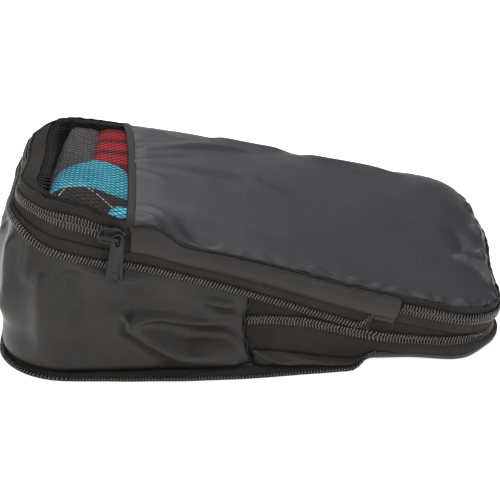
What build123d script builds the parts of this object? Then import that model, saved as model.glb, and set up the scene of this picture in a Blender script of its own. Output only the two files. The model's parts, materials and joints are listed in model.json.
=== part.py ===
from build123d import *
import math
import os

# A compression packing cube, shown let out: a soft rectangular case whose lid slopes from a tall
# end (-X) down to a thin end (+X). Millimetres. +Z up, the case rests on z = 0, the tall end with
# the mesh window is at -X, and the lid's fabric hinge is along the front, at -Y.

# --- Driving dimensions ---
WIDTH = 155.0            # across Y, seam to seam
BASE_LENGTH = 237.0      # base panel along X, seam to seam
LID_LENGTH = 244.0       # lid along its own slope, seam to seam
CORNER = 27.0            # plan radius of every corner
FOLD_X = 116.5           # the line at the thin end about which the case opens and closes
FOLD_Z = 12.5
LID_SLOPE = 15.0         # degrees that the lid stands open when the case is let out

CLOTH = 0.8              # zip tape and woven wall thickness
GAP = 0.3                # clearance between pieces that move against each other
COIL_THICK = 2.2         # how far a zip coil stands out of its tape
ROW = 2.7                # width of one row of coil in a closed chain
OPEN_ROW = 3.1           # width of one row where the chain is open
ROW_GAP = 0.5            # half the space between the two rows of a closed chain

# Base panel and brim
PANEL_THICK = 1.2
PIPING_TOP = 3.0
PIPING_IN = -1.5
PIPING_OUT = 0.8
BRIM_COIL = 8.8          # distance of the lower compression coil from the base seam
BRIM_Z = 1.6             # underside of the brim tape
BRIM_END_X = 48.0        # where the compression zip ends, near the thin end

# Heights in the flat, pressed position, measured from the table
MAIN_CHAIN_Z = 20.5
SEAM_Z = 13.0            # seam between the lid's zip and the black band under it
BAND_Z = 8.2             # lower edge of the black band
UPPER_COIL_Z = 4.9       # lower edge of the upper compression coil
UPPER_COIL_END_X = 52.0
LID_Z = 25.8             # underside of the lid
LID_TOP = 27.2
STRIP_LOW_X = -71.0      # hinge strip along the front
STRIP_HIGH_X = 62.5

# Mesh window in the lid
TRIM_LOW_X = -75.2
TRIM_HIGH_X = -71.0
WINDOW_LOW_X = -119.0
WINDOW_LOW_Y = -72.0
WINDOW_HIGH_Y = 72.0
WINDOW_CORNER = 20.0

# Access zip: along the front it climbs from the thin end to the side seam
ACCESS_END_Z = 8.0
ACCESS_LINE = [(-6.5, 24.6), (25.0, 22.5), (53.0, 14.5), (91.5, ACCESS_END_Z)]
SIDE_SEAM_X = ACCESS_LINE[0][0]
END_SEAM_Y = 50.0        # where the access zip stops on the thin end
SIDE_STRIP_TOP = 7.0
SIDE_STRIP_END_X = 48.0

# Clothes stacked under the mesh window
CLOTHES_X = (-109.0, -54.0)
CLOTHES_LOW = 1.6
CLOTHES_TOP = 23.0       # in the flat position, under the lid
CLOTHES = {
    "brown_jumper": (-66.0, -24.0, CLOTHES_X),
    "blue_shirt": (-23.4, 14.0, CLOTHES_X),
    "red_shirt": (14.6, 66.0, (-82.0, -54.0)),
    "grey_shirt": (14.6, 66.0, (-109.0, -82.6)),
}

# Zip slider and pull
SLIDER_LENGTH = 10.6
SLIDER_HALF = 4.6
SLIDER_NOSE_HALF = 3.9
SLIDER_PLATE = 1.3
FLANGE_IN = 3.8
LEG_X = 4.0
LEG_RADIUS = 0.9
BRIDGE_Z = 6.3
PULL_LOW = 4.0
PULL_THICK = 1.2
PULL_REACH = 19.0        # from the leg to the centre of the pull's round end
PULL_HEAD = 2.9
PULL_END = 4.1
PULL_HOLE = 1.5
PULL_RIM = 0.9

MAIN_SLIDER_X = -79.5
MAIN_PULL_SWING = 7.0    # the pull hangs about plumb, so it leans against the sloping chain
COMPRESSION_SLIDER_X = 40.0
ACCESS_SLIDER_Y = 40.0
ACCESS_PULL_SWING = 82.0  # its round end lies just above the table

BIG = 400.0
FOLD_AXIS = Axis((FOLD_X, 0, FOLD_Z), (0, 1, 0))
BASE_RIM = (BASE_LENGTH, 0.0)
LID_RIM = (LID_LENGTH, FOLD_X - LID_LENGTH / 2)


def span(x_low, x_high, y_low, y_high, z_low, z_high):
    """A box between its limits on each axis."""
    middle = Pos((x_low + x_high) / 2, (y_low + y_high) / 2, (z_low + z_high) / 2)
    return middle * Box(x_high - x_low, y_high - y_low, z_high - z_low)


def plate(rim, offset, low, high):
    """A rounded slab with its outline offset from a rim, from low to high."""
    length, centre = rim
    outline = RectangleRounded(length + 2 * offset, WIDTH + 2 * offset, CORNER + offset)
    return extrude(Pos(centre, 0, low) * outline, high - low)


def wall(rim, inner, outer, low, high):
    """A closed band round a rim, between two offsets of its outline."""
    return plate(rim, outer, low, high) - plate(rim, inner, low - 1, high + 1)


def let_out(piece):
    """Tilt a piece from the flat, pressed position to the lid's slope."""
    return piece.rotate(FOLD_AXIS, LID_SLOPE)


def upper_space(low, x_low, x_high):
    """Everything above a height of the flat position, tilted with the lid."""
    return let_out(span(x_low, x_high, -BIG, BIG, low, BIG))


def round_end(z_low, z_high, inner, outer, x_low):
    """The band round the thin end of the base, from the front to the access zip's end."""
    band = wall(BASE_RIM, inner, outer, z_low, z_high)
    kept = band & span(x_low, BIG, -BIG, END_SEAM_Y, -BIG, BIG)
    return kept


def front_band(lower, upper, inner, outer):
    """A strip of the front wall between a lower and an upper line of (x, z) points."""
    outline = make_face(Polyline(*[(x, z) for x, z in lower + upper[::-1]], close=True))
    face = Plane.XZ * outline
    return Pos(0, -WIDTH / 2 - inner, 0) * extrude(face, outer - inner)


def shifted(line, rise):
    """The access zip's line moved up or down."""
    return [(x, z + rise) for x, z in line]


# --- Base: the part that stays on the table ---
def make_base():
    brim_side = span(-BIG, BRIM_END_X, -BIG, BIG, -BIG, BIG)
    row_low = BRIM_COIL
    row_high = BRIM_COIL + OPEN_ROW
    tape_top = BRIM_Z + CLOTH
    coil_top = tape_top + COIL_THICK
    return {
        "base_panel": plate(BASE_RIM, PIPING_IN, 0, PANEL_THICK),
        "base_piping": wall(BASE_RIM, PIPING_IN, PIPING_OUT, 0.1, PIPING_TOP),
        "lower_compression_tape": wall(BASE_RIM, PIPING_OUT, row_high, BRIM_Z, tape_top) & brim_side,
        "lower_compression_coil": wall(BASE_RIM, row_low, row_high, tape_top, coil_top) & brim_side,
    }


def make_gusset():
    """The nylon wall: from the side seam on the front, round the tall end and along the back."""
    band = wall(BASE_RIM, -CLOTH, 0, PIPING_TOP, BIG / 2)
    access_corner = span(SIDE_SEAM_X, BIG, -BIG, 0, -BIG, BIG)
    access_end = span(BASE_LENGTH / 2 - CORNER, BIG, -BIG, END_SEAM_Y, -BIG, BIG)
    band -= access_corner + access_end
    band -= upper_space(UPPER_COIL_Z - GAP, -BIG, UPPER_COIL_END_X + GAP)
    band -= upper_space(SEAM_Z - GAP, UPPER_COIL_END_X, BIG)
    return band


def make_access_zip():
    """The second zip: two tapes and two rows of coil on the front and round the thin end."""
    corner_x = ACCESS_LINE[-1][0]
    z = ACCESS_END_Z

    def row(low, high):
        front = front_band(shifted(ACCESS_LINE, low), shifted(ACCESS_LINE, high), 0, COIL_THICK)
        return front + round_end(z + low, z + high, 0, COIL_THICK, corner_x)

    top = [(x, BIG / 2) for x, _ in ACCESS_LINE]
    upper = front_band(shifted(ACCESS_LINE, ROW_GAP), top, -CLOTH, 0)
    upper += round_end(z + ROW_GAP, BIG / 2, -CLOTH, 0, corner_x)
    upper -= upper_space(UPPER_COIL_Z - GAP, -BIG, UPPER_COIL_END_X + GAP)
    upper -= upper_space(SEAM_Z - GAP, UPPER_COIL_END_X, BIG)

    bottom = [(SIDE_SEAM_X, SIDE_STRIP_TOP), (SIDE_STRIP_END_X, SIDE_STRIP_TOP),
              (SIDE_STRIP_END_X, PIPING_TOP), (corner_x, PIPING_TOP)]
    lower = front_band(bottom, shifted(ACCESS_LINE, -ROW_GAP), -CLOTH, 0)
    lower += round_end(PIPING_TOP, z - ROW_GAP, -CLOTH, 0, corner_x)
    side_strip = span(SIDE_SEAM_X, SIDE_STRIP_END_X, -WIDTH / 2, -WIDTH / 2 + CLOTH,
                      PIPING_TOP, SIDE_STRIP_TOP)
    return {
        "access_upper_tape": upper,
        "access_upper_coil": row(ROW_GAP, ROW_GAP + ROW),
        "access_lower_coil": row(-ROW_GAP - ROW, -ROW_GAP),
        "access_lower_tape": lower,
        "lower_side_strip": side_strip,
    }


def make_clothes():
    """Folded clothes that fill the tall end, cut to the slope of the lid."""
    clothes = {}
    roof = upper_space(CLOTHES_TOP, -BIG, BIG)
    for name, (y_low, y_high, (x_low, x_high)) in CLOTHES.items():
        stack = span(x_low, x_high, y_low, y_high, CLOTHES_LOW, BIG / 2) - roof
        clothes[name] = fillet(stack.edges().group_by(Axis.Z)[-1], 4.0)
    return clothes


# --- Upper frame: the band that the lid zips on to, modelled flat and let out ---
def make_upper_frame():
    strip_gap = span(STRIP_LOW_X, STRIP_HIGH_X, -BIG, 0, -BIG, BIG)
    coil_side = span(-BIG, UPPER_COIL_END_X, -BIG, BIG, -BIG, BIG)
    row_low = MAIN_CHAIN_Z - ROW_GAP - ROW
    row_high = MAIN_CHAIN_Z - ROW_GAP
    coil_top = UPPER_COIL_Z + OPEN_ROW
    flat = {
        "hinge_strip": wall(LID_RIM, -CLOTH, 0.2, SEAM_Z, LID_Z - GAP) & strip_gap,
        "main_lower_tape": wall(LID_RIM, -CLOTH, 0, SEAM_Z, row_high) - strip_gap,
        "main_lower_coil": wall(LID_RIM, 0, COIL_THICK, row_low, row_high) - strip_gap,
        "compression_band": wall(LID_RIM, -CLOTH, 0.2, BAND_Z, SEAM_Z) & coil_side,
        "upper_compression_tape": wall(LID_RIM, -CLOTH, 0, UPPER_COIL_Z, BAND_Z) & coil_side,
        "upper_compression_coil": wall(LID_RIM, 0, COIL_THICK, UPPER_COIL_Z, coil_top) & coil_side,
    }
    return {name: let_out(piece) for name, piece in flat.items()}


# --- Lid, modelled flat and let out ---
def make_lid():
    strip_gap = span(STRIP_LOW_X, STRIP_HIGH_X, -BIG, 0, -BIG, BIG)
    row_low = MAIN_CHAIN_Z + ROW_GAP
    sheet = plate(LID_RIM, -1.0, LID_Z, LID_TOP)
    window_length = TRIM_LOW_X - WINDOW_LOW_X
    opening = span(WINDOW_LOW_X, TRIM_LOW_X, WINDOW_LOW_Y, WINDOW_HIGH_Y, -BIG, BIG)
    left_edges = opening.edges().filter_by(Axis.Z).sort_by(Axis.X)[:2]
    opening = fillet(left_edges, min(WINDOW_CORNER, window_length - 1))
    border = (sheet & span(-BIG, TRIM_LOW_X, -BIG, BIG, -BIG, BIG)) - opening
    trim_side = span(TRIM_LOW_X, TRIM_HIGH_X, -BIG, BIG, -BIG, BIG)
    panel_side = span(TRIM_HIGH_X, BIG, -BIG, BIG, -BIG, BIG)
    flat = {
        "lid_panel": sheet & panel_side,
        "window_trim": plate(LID_RIM, -1.0, LID_Z, LID_TOP + 0.4) & trim_side,
        "window_border": border,
        "mesh_window": opening & span(-BIG, BIG, -BIG, BIG, LID_Z + 0.4, LID_Z + 1.0),
        "lid_piping": wall(LID_RIM, -1.0, 0.4, LID_Z, LID_TOP + 0.2),
        "main_upper_tape": wall(LID_RIM, -CLOTH, 0, row_low, LID_Z) - strip_gap,
        "main_upper_coil": wall(LID_RIM, 0, COIL_THICK, row_low, row_low + ROW) - strip_gap,
    }
    return {name: let_out(piece) for name, piece in flat.items()}


# --- Zip sliders and pulls ---
def make_slider():
    """A coil zip slider. Its chain runs along X, its wide end is at +X and it faces +Z."""
    half = SLIDER_LENGTH / 2
    outline = Polyline((-half, -SLIDER_NOSE_HALF), (0, -SLIDER_HALF), (half, -SLIDER_HALF),
                       (half, SLIDER_HALF), (0, SLIDER_HALF), (-half, SLIDER_NOSE_HALF), close=True)
    face = make_face(outline)
    top = COIL_THICK + GAP
    inside = -CLOTH - GAP
    body = extrude(Pos(0, 0, top) * face, SLIDER_PLATE)
    body += extrude(Pos(0, 0, inside - SLIDER_PLATE + 0.1) * face, SLIDER_PLATE - 0.1)
    for side in (-1, 1):
        edges = sorted((side * FLANGE_IN, side * SLIDER_HALF))
        body += span(0, half, edges[0], edges[1], 0.5, top)
    body += span(half - 2.5, half - 0.5, -ROW_GAP / 2, ROW_GAP / 2, inside, top)
    for x in (-LEG_X, LEG_X):
        height = BRIDGE_Z - top - SLIDER_PLATE
        body += Pos(x, 0, top + SLIDER_PLATE + height / 2) * Cylinder(LEG_RADIUS, height)
        body += Pos(x, 0, BRIDGE_Z) * Sphere(LEG_RADIUS)
    body += Pos(0, 0, BRIDGE_Z) * Rot(0, 90, 0) * Cylinder(LEG_RADIUS, 2 * LEG_X)
    return body


def pull_outline(inset):
    """The pull's outline, hooked on the slider's leg and hanging towards -Y."""
    head = Pos(LEG_X, 0) * Circle(PULL_HEAD - inset)
    end = Pos(LEG_X, -PULL_REACH) * Circle(PULL_END - inset)
    return make_hull(head.edges() + end.edges())


def make_pull(swing):
    """A flat tapered pull with a raised rim, a teardrop hole and a round dimple."""
    body = extrude(Pos(0, 0, PULL_LOW) * pull_outline(0), PULL_THICK)
    hole = make_hull((Pos(LEG_X, 0) * Circle(PULL_HOLE)).edges()
                     + (Pos(LEG_X, -2.6) * Circle(0.7)).edges())
    body -= extrude(Pos(0, 0, PULL_LOW - 1) * hole, PULL_THICK + 2)
    pocket = pull_outline(PULL_RIM) - Pos(LEG_X, 0) * Circle(PULL_HEAD + 2.6)
    body -= extrude(Pos(0, 0, PULL_LOW + PULL_THICK - 0.25) * pocket, 1)
    dimple = Pos(LEG_X, -PULL_REACH, PULL_LOW + PULL_THICK - 0.45) * Cylinder(2.0, 0.4)
    body -= dimple
    return body.rotate(Axis((LEG_X, 0, 0), (0, 0, 1)), swing)


def make_sliders():
    main = Plane(origin=(MAIN_SLIDER_X, -WIDTH / 2, MAIN_CHAIN_Z), x_dir=(1, 0, 0),
                 z_dir=(0, -1, 0))
    brim_row = WIDTH / 2 + BRIM_COIL + OPEN_ROW + ROW_GAP
    compression = Plane(origin=(COMPRESSION_SLIDER_X, brim_row, BRIM_Z + CLOTH),
                        x_dir=(-1, 0, 0), z_dir=(0, 0, 1))
    access = Plane(origin=(BASE_LENGTH / 2, ACCESS_SLIDER_Y, ACCESS_END_Z), x_dir=(0, 1, 0),
                   z_dir=(1, 0, 0))
    return {
        "main_slider": let_out(main * make_slider()),
        "main_pull": let_out(main * make_pull(MAIN_PULL_SWING)),
        "compression_slider": compression * make_slider(),
        "compression_pull": compression * make_pull(90.0),
        "access_slider": access * make_slider(),
        "access_pull": access * make_pull(ACCESS_PULL_SWING),
    }


def main():
    nodes = {}
    nodes.update(make_base())
    nodes["gusset"] = make_gusset()
    nodes.update(make_access_zip())
    nodes.update(make_clothes())
    nodes.update(make_upper_frame())
    nodes.update(make_lid())
    nodes.update(make_sliders())
    os.makedirs("parts", exist_ok=True)
    for name, piece in nodes.items():
        export_step(piece, f"parts/{name}.step")


main()
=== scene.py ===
"""Looks for the compression packing cube: cloth, zips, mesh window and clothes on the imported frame.

Lengths are in millimetres until a mesh is made, where MM turns them into metres. The lights and the
camera are placed in metres. The upper frame and the lid are shaped in the flat, pressed position and
then let out, as they are in the frame.
"""

import json
import math

import bmesh
import bpy
import numpy as np
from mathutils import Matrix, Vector, noise


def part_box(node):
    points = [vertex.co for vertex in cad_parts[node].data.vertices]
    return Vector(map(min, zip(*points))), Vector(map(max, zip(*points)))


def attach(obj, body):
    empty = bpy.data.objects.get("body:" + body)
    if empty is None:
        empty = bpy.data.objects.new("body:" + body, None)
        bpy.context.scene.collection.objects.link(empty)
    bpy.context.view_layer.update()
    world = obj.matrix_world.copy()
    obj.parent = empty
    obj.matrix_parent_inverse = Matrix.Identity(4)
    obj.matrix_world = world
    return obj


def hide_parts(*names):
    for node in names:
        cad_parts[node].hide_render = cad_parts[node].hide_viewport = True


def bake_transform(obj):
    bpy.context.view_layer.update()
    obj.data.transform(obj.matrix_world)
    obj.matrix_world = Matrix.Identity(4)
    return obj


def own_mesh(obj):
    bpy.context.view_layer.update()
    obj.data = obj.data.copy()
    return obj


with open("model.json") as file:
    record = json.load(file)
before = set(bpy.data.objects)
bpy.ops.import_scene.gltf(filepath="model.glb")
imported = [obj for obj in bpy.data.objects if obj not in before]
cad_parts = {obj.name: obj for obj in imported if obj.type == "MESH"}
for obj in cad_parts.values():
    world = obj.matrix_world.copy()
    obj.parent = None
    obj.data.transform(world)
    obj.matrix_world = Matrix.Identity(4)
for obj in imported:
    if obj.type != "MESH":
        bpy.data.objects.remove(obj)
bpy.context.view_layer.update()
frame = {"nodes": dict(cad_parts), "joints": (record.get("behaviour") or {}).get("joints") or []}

MM = 0.001
JOINTS = {joint["name"]: joint for joint in frame["joints"]}
FOLD_X, _, FOLD_Z = [c / MM for c in JOINTS["compression_fold"]["pos_m"]]
LEAN_COS = JOINTS["lid_hinge"]["axis"][0]
LEAN_SIN = -JOINTS["lid_hinge"]["axis"][2]
CORNER = 27.0  # radius of the case's upright corners


# --- Places ---------------------------------------------------------------------------------------
def let_out(x, y, z):
    """A point of the flat position, tilted with the lid."""
    dx, dz = x - FOLD_X, z - FOLD_Z
    return FOLD_X + dx * LEAN_COS + dz * LEAN_SIN, y, FOLD_Z - dx * LEAN_SIN + dz * LEAN_COS


def metres(point):
    return tuple(c * MM for c in point)


def limits(node):
    """Lowest and highest corner of a CAD node, in millimetres."""
    low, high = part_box(node)
    return [c / MM for c in low], [c / MM for c in high]


def flat_limits(node):
    """Lowest and highest corner of an upper node, tilted back to the flat position."""
    co = np.array([v.co for v in frame["nodes"][node].data.vertices]) / MM
    dx, dz = co[:, 0] - FOLD_X, co[:, 2] - FOLD_Z
    flat = np.stack([FOLD_X + dx * LEAN_COS - dz * LEAN_SIN, co[:, 1],
                     FOLD_Z + dx * LEAN_SIN + dz * LEAN_COS], axis=1)
    return flat.min(axis=0), flat.max(axis=0)


def smooth(t):
    """0 before t = 0, 1 after t = 1, and a smooth step between."""
    t = min(max(t, 0.0), 1.0)
    return t * t * (3 - 2 * t)


def bell(t, centre, width):
    return math.exp(-((t - centre) / width) ** 2)


def mix(a, b, t):
    return a + (b - a) * t


def curve(points, x):
    """A smooth line through (x, value) points, level beyond its ends."""
    x = min(max(x, points[0][0]), points[-1][0])
    i = max(k for k in range(len(points) - 1) if points[k][0] <= x)

    def slope(k):
        if k in (0, len(points) - 1):
            return 0.0
        return (points[k + 1][1] - points[k - 1][1]) / (points[k + 1][0] - points[k - 1][0])

    (ax, ay), (bx, by) = points[i], points[i + 1]
    width = bx - ax
    f = (x - ax) / width
    return (ay * (1 + 2 * f) * (1 - f) ** 2 + by * f * f * (3 - 2 * f)
            + width * (slope(i) * f * (1 - f) ** 2 - slope(i + 1) * f * f * (1 - f)))


def ripple(x, y, z, size, seed=0.0):
    """Soft noise between about -1 and 1, with features of the given size."""
    return noise.noise(Vector((x / size + seed, y / size - seed, z / size + 2 * seed)))


class Rim:
    """A rounded outline seen from above, walked anticlockwise through eight stretches.

    0-1 front, 1-2 corner, 2-3 thin end, 3-4 corner, 4-5 back, 5-6 corner, 6-7 tall end, 7-8 corner.
    """

    def __init__(self, low_x, high_x, low_y, high_y, corner):
        self.low_x, self.high_x, self.low_y, self.high_y = low_x, high_x, low_y, high_y
        self.corner = corner
        long_side, short_side = high_x - low_x - 2 * corner, high_y - low_y - 2 * corner
        arc = corner * math.pi / 2
        self.lengths = [long_side, arc, short_side, arc] * 2
        self.total = sum(self.lengths)

    def at(self, t):
        """The point at t, and the direction outwards: x, y, outward x, outward y."""
        stretch = int(math.floor(t)) % 8
        f = t - math.floor(t)
        side = stretch // 2
        r = self.corner
        in_low_x, in_high_x = self.low_x + r, self.high_x - r
        in_low_y, in_high_y = self.low_y + r, self.high_y - r
        if stretch % 2:
            cx, cy = [(in_high_x, in_low_y), (in_high_x, in_high_y),
                      (in_low_x, in_high_y), (in_low_x, in_low_y)][side]
            turn = math.pi / 2 * (side - 1 + f)
            nx, ny = math.cos(turn), math.sin(turn)
            return cx + r * nx, cy + r * ny, nx, ny
        if side == 0:
            return mix(in_low_x, in_high_x, f), self.low_y, 0.0, -1.0
        if side == 1:
            return self.high_x, mix(in_low_y, in_high_y, f), 1.0, 0.0
        if side == 2:
            return mix(in_high_x, in_low_x, f), self.high_y, 0.0, 1.0
        return self.low_x, mix(in_high_y, in_low_y, f), -1.0, 0.0

    def front(self, x):
        return (x - self.low_x - self.corner) / self.lengths[0]

    def back(self, x):
        return 4 + (self.high_x - self.corner - x) / self.lengths[4]

    def thin(self, y):
        return 2 + (y - self.low_y - self.corner) / self.lengths[2]

    def distance(self, t):
        """Millimetres walked from t = 0."""
        whole = math.floor(t)
        laps, stretch = divmod(int(whole), 8)
        return laps * self.total + sum(self.lengths[:stretch]) + (t - whole) * self.lengths[stretch]

    def at_distance(self, s):
        """The walk t after s millimetres."""
        laps, rest = divmod(s, self.total)
        for stretch, length in enumerate(self.lengths):
            if rest <= length:
                return 8 * laps + stretch + rest / length
            rest -= length
        return 8 * laps + 8.0

    def walk(self, start, end, step):
        """Even steps of about that many millimetres, from t = start to t = end."""
        a, b = self.distance(start), self.distance(end)
        count = max(2, int(round((b - a) / step)))
        return [self.at_distance(mix(a, b, i / count)) for i in range(count + 1)]

    def inside(self, x, y):
        """How far a point lies inside the outline."""
        qx = abs(x - (self.low_x + self.high_x) / 2) - (self.high_x - self.low_x) / 2 + self.corner
        qy = abs(y - (self.low_y + self.high_y) / 2) - (self.high_y - self.low_y) / 2 + self.corner
        if qx > 0 and qy > 0:
            return self.corner - math.hypot(qx, qy)
        return self.corner - max(qx, qy)

    def kept_in(self, x, y, margin):
        """The point, or the nearest one to it that far inside the outline."""
        r = self.corner
        cx = min(max(x, self.low_x + r), self.high_x - r)
        cy = min(max(y, self.low_y + r), self.high_y - r)
        away = math.hypot(x - cx, y - cy)
        if away <= r - margin:
            return x, y
        return cx + (x - cx) * (r - margin) / away, cy + (y - cy) * (r - margin) / away


# The base's seam runs as far to the thin end as to the tall one
base_low, base_high = limits("gusset")
BASE = Rim(base_low[0], -base_low[0], base_low[1], base_high[1], CORNER)
tape_low, tape_high = flat_limits("main_lower_tape")
LID = Rim(tape_low[0], tape_high[0], tape_low[1], tape_high[1], CORNER)

# Heights in the flat position
COIL_LOW = flat_limits("upper_compression_coil")[0][2]
BAND_LOW, BAND_HIGH = (c[2] for c in flat_limits("compression_band"))
MAIN_Z = (flat_limits("main_lower_coil")[1][2] + flat_limits("main_upper_coil")[0][2]) / 2
LID_Z = flat_limits("lid_panel")[0][2]
STRIP_X = [c[0] for c in flat_limits("hinge_strip")]
TRIM_X = [c[0] for c in flat_limits("window_trim")]
COIL_END_X = flat_limits("upper_compression_coil")[1][0]
WINDOW_LOW = flat_limits("mesh_window")[0]
SEAM_X = limits("lower_side_strip")[0][0]

# How the filled case sags: how far its cloth stands above its plane, by x
FRONT_SAG = [(-128, -0.8), (-98, -0.8), (-80, 0.0), (-66, 1.9), (-46, 2.4), (-20, 1.6), (7, 0.0),
             (32, -1.9), (50, -3.0), (85, -2.6), (117, -1.0)]
BACK_SAG = [(-128, -17.0), (-114, -12.0), (-80, -8.5), (-20, -5.8), (60, -1.6), (117, 2.4)]
# How much more the lid's seam is raised on the front than the frame's lower edge is, by x
FRONT_LIFT = [(-128, 6.0), (-96, 6.0), (-80, 2.4), (-70, 0.8), (-58, 1.6), (-45, -4.2), (-20, -3.2),
              (7, -2.2), (28, -1.4), (50, -0.2), (117, 0.0)]
FRAME_LOW = COIL_LOW + 1.5  # from here up to the lid's seam the cloth stretches
# How far the frame's lower edge is pushed up at the tall end, where the wall bulges over it
PINCH = [(-128, 8.2), (-123, 7.0), (-117, 4.2), (-110, 1.8), (-100, 0.4), (-90, 0.0)]
OPEN_ROW = 4.0  # how far the open row of coil reaches above the frame's lower edge
CLOSED_ROW = 3.2  # that push ends this far below the middle of the main chain
THIN_BULGE = 4.4  # how far the frame bulges out at the middle of its thin end
# How far the frame's tall end is pulled in, by y
TALL_IN = [(-78, 2.0), (-40, 2.2), (0, 1.4), (30, -0.4), (78, 0.6)]


def across(y):
    """0 at the lid's front seam and 1 at its back one."""
    return (y - LID.low_y) / (LID.high_y - LID.low_y)


def sag(x, y):
    """How much higher or lower than its plane the frame stands here."""
    return mix(curve(FRONT_SAG, x), curve(BACK_SAG, x), smooth(across(y)))


def lift(x, y, z):
    """How much more the cloth stretches up between the frame's lower edge and the lid."""
    reach = mix(0.6, 0.16, smooth((x + 92) / 20))
    share = min(max((z - FRAME_LOW) / (LID_Z - FRAME_LOW), 0.0), 1.0)
    return curve(FRONT_LIFT, x) * share ** 1.5 * (1 - smooth(across(y) / reach))


def pinch(x, y, z):
    """How far a point of the frame below the chain is pushed up."""
    low, high = COIL_LOW + OPEN_ROW, MAIN_Z - CLOSED_ROW
    share = min(max((z - low) / (high - low), 0.0), 1.0)
    return curve(PINCH, x) * (1 - share) * (1 - 0.5 * smooth((y + 20) / 80))


def upper(x, y, z):
    """A point of the flat position, let out and sagged."""
    x += THIN_BULGE * bell(y, 14, 26) * smooth((x - 80) / 35)
    x += curve(TALL_IN, y) * smooth((-102 - x) / 20)
    wx, wy, wz = let_out(x, y, z)
    return wx, wy, wz + sag(x, y) + lift(x, y, z) + pinch(x, y, z)


def base_lift(x, y):
    """How far the base curls up at the thin end's front corner."""
    rise = 3.4 * smooth((x - 45) / 9) - 1.8 * smooth((x - 70) / 25) + 3.0 * smooth((x - 98) / 14)
    return rise * smooth(-y / 50)


def base_at(t, out, z):
    x, y, nx, ny = BASE.at(t)
    return x + nx * out, y + ny * out, z + base_lift(x, y)


def upper_at(t, out, z):
    x, y, nx, ny = LID.at(t)
    return upper(x + nx * out, y + ny * out, z)


# --- Mesh building --------------------------------------------------------------------------------
def shade_smooth(mesh):
    mesh.polygons.foreach_set("use_smooth", [True] * len(mesh.polygons))


def linked(name, data):
    """A new object with that data, in the scene."""
    made = bpy.data.objects.new(name, data)
    bpy.context.collection.objects.link(made)
    return made


def make_object(name, points, faces):
    """A mesh object from points in millimetres."""
    mesh = bpy.data.meshes.new(name)
    mesh.from_pydata([[c * MM for c in p] for p in points], [], faces)
    mesh.validate()
    shade_smooth(mesh)
    return linked(name, mesh)


def face_outwards(piece, merge=0.0):
    """Join a closed piece's points that lie within that many millimetres, and turn its faces out."""
    bm = bmesh.new()
    bm.from_mesh(piece.data)
    if merge:
        bmesh.ops.remove_doubles(bm, verts=bm.verts, dist=merge * MM)
    bmesh.ops.recalc_face_normals(bm, faces=bm.faces)
    bm.to_mesh(piece.data)
    bm.free()


def settle(piece, thickness=0.0, levels=0):
    """Give a sheet its thickness, smooth it, and keep the result as its mesh."""
    if thickness:
        solid = piece.modifiers.new("thickness", "SOLIDIFY")
        solid.thickness = thickness * MM
        solid.offset = -1
    if levels:
        fine = piece.modifiers.new("fine", "SUBSURF")
        fine.levels = fine.render_levels = levels
    bpy.context.view_layer.update()
    graph = bpy.context.evaluated_depsgraph_get()
    mesh = bpy.data.meshes.new_from_object(piece.evaluated_get(graph))
    piece.modifiers.clear()
    piece.data = mesh
    shade_smooth(mesh)
    return piece


def grid(us, vs, place):
    """Points and faces of the sheet place(u, v)."""
    points = [place(u, v) for u in us for v in vs]
    rows = len(vs)
    faces = []
    for i in range(len(us) - 1):
        a, b = i * rows, (i + 1) * rows
        faces += [(a + j, b + j, b + j + 1, a + j + 1) for j in range(rows - 1)]
    return points, faces


def spaced(start, end, count):
    return [mix(start, end, i / count) for i in range(count + 1)]


def sheet(name, us, vs, place, thickness=0.5, levels=0):
    return settle(make_object(name, *grid(us, vs, place)), thickness, levels)


def band_faces(a, b, sides):
    """Faces between two rings of points, which start at a and b."""
    return [(a + k, a + (k + 1) % sides, b + (k + 1) % sides, b + k) for k in range(sides)]


def tube(name, lines, radius, sides=6, closed=False):
    """One object of round tubes, each along a line of points in millimetres."""
    points, faces = [], []
    for line in lines:
        first = len(points)
        count = len(line)
        for i, p in enumerate(line):
            after = line[(i + 1) % count] if closed or i < count - 1 else p
            before = line[i - 1] if closed or i else p
            along = (Vector(after) - Vector(before)).normalized()
            side = along.cross(Vector((0.13, 0.21, 1))).normalized()
            rise = side.cross(along)
            thick = radius(i / max(count - 1, 1)) if callable(radius) else radius
            for k in range(sides):
                angle = 2 * math.pi * k / sides
                points.append(Vector(p) + thick * (math.cos(angle) * side + math.sin(angle) * rise))
        for i in range(count if closed else count - 1):
            faces += band_faces(first + i * sides, first + (i + 1) % count * sides, sides)
        if not closed:
            faces.append([first + k for k in range(sides)][::-1])
            faces.append([first + (count - 1) * sides + k for k in range(sides)])
    return make_object(name, points, faces)


PITCH = 1.5  # one turn of coil along its zip
WIRE = 0.38  # radius of the coil's filament
WIRE_SIDES = 5
TURN_STEPS = 12
ROW_OVERLAP = 0.5  # how far each row of a closed chain reaches past the chain's middle


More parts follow.
